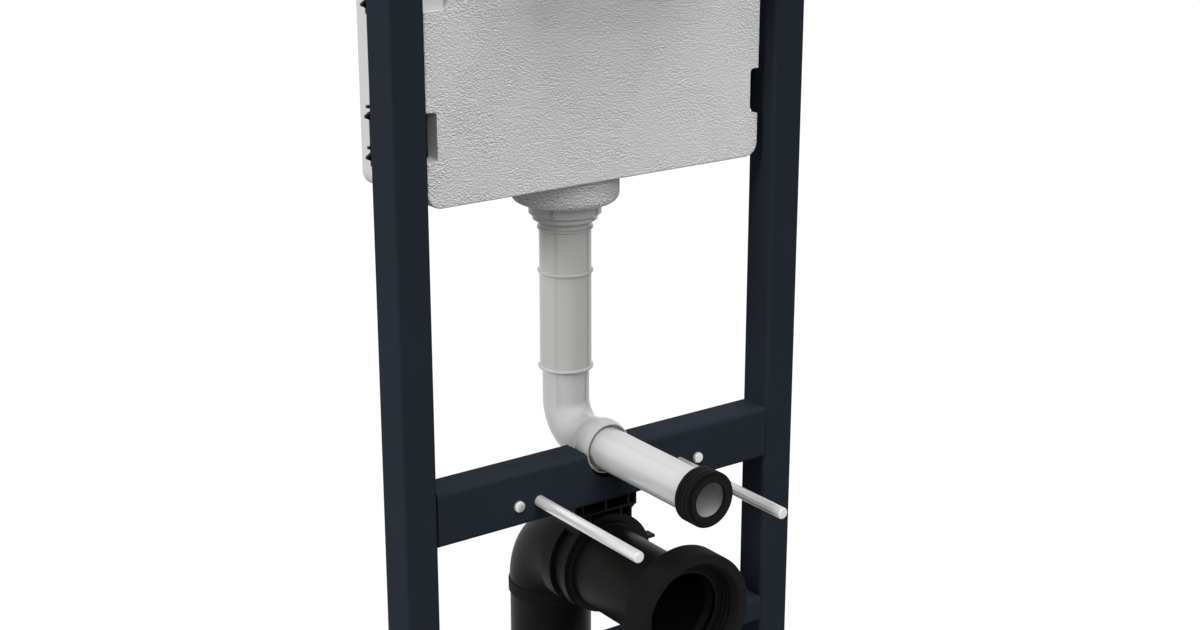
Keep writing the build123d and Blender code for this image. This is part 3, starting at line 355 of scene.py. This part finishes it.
def add_thread(bm, centre, low_y, high_y, crest, depth, pitch):
    """Add a helical thread along Y to the bmesh, closed and tapered at both ends."""
    root = crest - depth
    turns = math.ceil((high_y - low_y) / pitch) + SPARE_TURNS
    rod = bmesh.new()
    outline = [(along, crest if on_crest else root) for along, on_crest in THREAD_PROFILE]
    verts = [rod.verts.new((0.0, low_y - pitch + pitch * along, radius)) for along, radius in outline]
    edges = [rod.edges.new(pair) for pair in zip(verts, verts[1:])]
    bmesh.ops.spin(rod, geom=verts + edges, cent=(0, 0, 0), axis=(0, 1, 0),
                   dvec=(0, pitch / THREAD_STEPS, 0), angle=2 * math.pi, steps=THREAD_STEPS)
    made_turns = 1
    while made_turns < turns:
        more = bmesh.ops.duplicate(rod, geom=rod.verts[:] + rod.edges[:] + rod.faces[:])["geom"]
        bmesh.ops.translate(rod, verts=[v for v in more if isinstance(v, bmesh.types.BMVert)],
                            vec=(0, pitch * made_turns, 0))
        made_turns *= 2
    bmesh.ops.remove_doubles(rod, verts=rod.verts, dist=pitch * PITCH_MERGE)
    for limit, outward in ((low_y, -1), (high_y, 1)):
        bmesh.ops.bisect_plane(rod, geom=rod.verts[:] + rod.edges[:] + rod.faces[:], dist=TINY,
                               plane_co=(0, limit, 0), plane_no=(0, outward, 0), clear_outer=True)
        rim = [edge for edge in rod.edges if edge.is_boundary
               and all(abs(v.co.y - limit) < ON_PLANE for v in edge.verts)]
        bmesh.ops.contextual_create(rod, geom=rim)
    for vert in rod.verts:
        to_end = min(vert.co.y - low_y, high_y - vert.co.y)
        allowed = root - END_SINK + to_end * (crest - root + END_SINK) / END_TAPER
        radius = math.hypot(vert.co.x, vert.co.z)
        if radius > allowed:
            vert.co.x *= allowed / radius
            vert.co.z *= allowed / radius
    bmesh.ops.translate(rod, verts=rod.verts, vec=(centre.x, 0, centre.z))
    part = bpy.data.meshes.new("thread_part")
    rod.to_mesh(part)
    rod.free()
    bm.from_mesh(part)
    bpy.data.meshes.remove(part)


def add_lathe(bm, centre, outline, steps, upright=False):
    """Add a closed round solid along Y, or Z if upright, from its outline of (along, radius) points."""
    if upright:
        verts = [bm.verts.new((centre.x + radius, centre.y, along)) for along, radius in outline]
    else:
        verts = [bm.verts.new((centre.x, along, centre.z + radius)) for along, radius in outline]
    edges = [bm.edges.new(pair) for pair in zip(verts, verts[1:])]
    bmesh.ops.spin(bm, geom=verts + edges, cent=centre, axis=(0, 0, 1) if upright else (0, 1, 0),
                   angle=2 * math.pi, steps=steps, use_merge=True)
    bmesh.ops.remove_doubles(bm, verts=bm.verts[:], dist=TINY)


def shade_round(piece):
    """Smooth shading with the turned edges kept sharp."""
    for face in piece.data.polygons:
        face.use_smooth = True
    piece.data.set_sharp_from_angle(angle=SHARP_TURN)


def wall_rod(node, name):
    """A rod threaded from end to end."""
    low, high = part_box(node)
    bm = bmesh.new()
    add_thread(bm, (low + high) / 2, low.y, high.y, (high.x - low.x) / 2, ROD_DEPTH, ROD_PITCH)
    piece_from(bm, name, BRIGHT_STEEL, "bright_steel", node)


def smooth_stud(node, name):
    """A stud with a smooth front, a plain shank in the rail and a threaded tail behind it."""
    low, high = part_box(node)
    rail_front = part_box("pan_rail")[0].y
    rail_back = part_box("pan_rail")[1].y
    centre = (low + high) / 2
    radius = (high.x - low.x) / 2
    edge = [(low.y + STUD_EDGE * along, radius - STUD_EDGE * inward) for along, inward in EDGE_ARC]
    bm = bmesh.new()
    add_lathe(bm, centre, [
        (low.y, 0), *edge, (rail_front, radius), (rail_front, STUD_SHANK),
        (rail_back - SHANK_END, STUD_SHANK), (rail_back - SHANK_END, 0)], STUD_STEPS)
    add_thread(bm, centre, rail_back - THREAD_START, high.y, STUD_SHANK, STUD_DEPTH, STUD_PITCH)
    shade_round(piece_from(bm, name, BRIGHT_STEEL, "bright_steel", node))


def mouth_collar():
    """The pan connector's rubber collar, with a crisp rim and the fine ridges of its mouth."""
    low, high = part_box("pan_connector_collar")
    bm = bmesh.new()
    mouth = list(COLLAR_RIM)
    for depth, radius in COLLAR_CRESTS:
        groove = radius + GROOVE_DEPTH
        mouth += [(depth, radius), (depth, groove),
                  (depth + GROOVE_WIDTH, groove), (depth + GROOVE_WIDTH, radius - CREST_FALL)]
    outline = [(low.y + depth, radius) for depth, radius in mouth + list(COLLAR_LIP)]
    back = [(high.y, COLLAR_BACK_RADIUS), (high.y - COLLAR_BACK_SLOPE, COLLAR_RADIUS)]
    add_lathe(bm, (low + high) / 2, back + outline + back[:1], COLLAR_STEPS)
    shade_round(piece_from(bm, "pan_collar_finish", RUBBER, "black_rubber", "pan_connector_collar"))


def connector_pipe():
    """The pipe in the collar, with its mouth flared inside the collar's chamber."""
    low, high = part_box("pan_connector")
    outer = (high.x - low.x) / 2
    bore = outer - CONNECTOR_WALL
    front = low.y + CONNECTOR_SETBACK
    bm = bmesh.new()
    add_lathe(bm, (low + high) / 2, [
        (high.y, outer), (high.y, bore), (front + CONNECTOR_FLARE, bore), (front, outer - CONNECTOR_EDGE),
        (front, outer), (high.y, outer)], COLLAR_STEPS)
    shade_round(piece_from(bm, "pan_connector_finish", BLACK_PLASTIC, "black_plastic", "pan_connector"))


def joint_ring():
    """The rubber ring over the waste pipe's joint: three round beads with narrow grooves between."""
    low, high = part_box("waste_joint_ring")
    outer = (high.x - low.x) / 2
    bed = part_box("waste_pipe")[1].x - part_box("waste_pipe")[0].x
    inner = bed / 2 + RING_CLEARANCE
    first = high.z - RING_TOP_GAP - RING_BEADS * RING_BEAD
    outline = [(low.z, inner), (low.z, outer - RING_GROOVE), (first, outer - RING_GROOVE)]
    for bead in range(RING_BEADS):
        for step in range(1, BEAD_STEPS):
            turn = math.pi * step / BEAD_STEPS
            along = first + RING_BEAD * (bead + (1 - math.cos(turn)) / 2)
            outline.append((along, outer - RING_GROOVE * (1 - math.sqrt(math.sin(turn)))))
        outline.append((first + RING_BEAD * (bead + 1), outer - RING_GROOVE))
    outline += [(high.z, outer - RING_GROOVE), (high.z, inner), (low.z, inner)]
    bm = bmesh.new()
    add_lathe(bm, (low + high) / 2, outline, COLLAR_STEPS, upright=True)
    shade_round(piece_from(bm, "waste_ring_finish", RUBBER, "black_rubber", "waste_joint_ring"))


mouth_collar()
connector_pipe()
joint_ring()
for side in ("left", "right"):
    smooth_stud(f"pan_stud_{side}", f"pan_stud_finish_{side}")
    smooth_stud(f"blanking_bolt_{side}", f"spare_bolt_finish_{side}")
    wall_rod(f"wall_rod_{side}", f"wall_rod_thread_{side}")


# Floor, lamps and camera
def seen_directly(tree):
    """1 for camera, glossy and transmission rays, 0 for the rest."""
    path = tree.nodes.new("ShaderNodeLightPath")
    reflected = tree.nodes.new("ShaderNodeMath")
    reflected.operation = "MAXIMUM"
    seen = tree.nodes.new("ShaderNodeMath")
    seen.operation = "MAXIMUM"
    tree.links.new(path.outputs["Is Glossy Ray"], reflected.inputs[0])
    tree.links.new(path.outputs["Is Transmission Ray"], reflected.inputs[1])
    tree.links.new(path.outputs["Is Camera Ray"], seen.inputs[0])
    tree.links.new(reflected.outputs[0], seen.inputs[1])
    return seen.outputs[0]


def white_to_the_eye(name, tint, bounce, share):
    """Mostly plain white to the camera with part of its shadows; bounce is its grey to the rest."""
    material = bpy.data.materials.new(name)
    material.use_nodes = True
    tree = material.node_tree
    tree.nodes.clear()
    out = tree.nodes.new("ShaderNodeOutputMaterial")
    glow = tree.nodes.new("ShaderNodeEmission")
    glow.inputs["Color"].default_value = WHITE
    glow.inputs["Strength"].default_value = FLOOR_GLOW
    matte = tree.nodes.new("ShaderNodeBsdfDiffuse")
    level = tree.nodes.new("ShaderNodeMapRange")
    level.inputs["To Min"].default_value = bounce
    level.inputs["To Max"].default_value = tint
    mix = tree.nodes.new("ShaderNodeMixShader")
    scale = tree.nodes.new("ShaderNodeMath")
    scale.operation = "MULTIPLY"
    scale.inputs[1].default_value = share
    seen = seen_directly(tree)
    tree.links.new(seen, scale.inputs[0])
    tree.links.new(seen, level.inputs["Value"])
    tree.links.new(level.outputs["Result"], matte.inputs["Color"])
    tree.links.new(scale.outputs[0], mix.inputs[0])
    tree.links.new(matte.outputs[0], mix.inputs[1])
    tree.links.new(glow.outputs[0], mix.inputs[2])
    tree.links.new(mix.outputs[0], out.inputs["Surface"])
    return material


def add_floor():
    """A wide pale floor at the level of the foot plates."""
    bm = bmesh.new()
    bmesh.ops.create_grid(bm, x_segments=1, y_segments=1, size=FLOOR_REACH)
    bmesh.ops.translate(bm, verts=bm.verts, vec=(0, 0, CAD_LOW.z))
    mesh = bpy.data.meshes.new("floor")
    bm.to_mesh(mesh)
    bm.free()
    mesh.materials.append(white_to_the_eye("pale_floor", tint=0.5, bounce=0.22, share=0.8))
    floor = bpy.data.objects.new("floor", mesh)
    bpy.context.scene.collection.objects.link(floor)


def add_sky_lamp(name, toward, spread, strength):
    """A wide even light that comes from one direction and reaches the whole floor alike."""
    data = bpy.data.lights.new(name, "SUN")
    data.energy = strength
    data.angle = math.radians(spread)
    lamp = bpy.data.objects.new(name, data)
    lamp.rotation_euler = Vector(toward).to_track_quat("Z", "Y").to_euler()
    lamp.visible_glossy = False
    bpy.context.scene.collection.objects.link(lamp)


def add_world(strength):
    """Even pale surroundings, plain white where the camera looks past the floor."""
    world = bpy.data.worlds.new("surroundings")
    world.use_nodes = True
    tree = world.node_tree
    back = tree.nodes["Background"]
    back.inputs["Color"].default_value = WHITE
    level = tree.nodes.new("ShaderNodeMapRange")
    level.inputs["To Min"].default_value = strength
    level.inputs["To Max"].default_value = 1.0
    tree.links.new(seen_directly(tree), level.inputs["Value"])
    tree.links.new(level.outputs["Result"], back.inputs["Strength"])
    bpy.context.scene.world = world


def add_camera():
    """The camera that stands and looks as the photograph's did."""
    data = bpy.data.cameras.new("photo_camera")
    data.lens = CAMERA_LENS
    data.sensor_width = SENSOR_WIDTH
    data.clip_end = CAMERA_REACH
    camera = bpy.data.objects.new("photo_camera", data)
    camera.location = CAMERA_PLACE
    camera.rotation_euler = (math.pi / 2 - CAMERA_PITCH, 0, -CAMERA_YAW)
    bpy.context.scene.collection.objects.link(camera)
    bpy.context.scene.camera = camera


add_floor()
add_world(SURROUNDINGS_LEVEL)
for name, toward, spread, strength in LAMPS:
    add_sky_lamp(name, toward, spread, strength)
add_camera()
bpy.context.scene.view_settings.view_transform = "Standard"
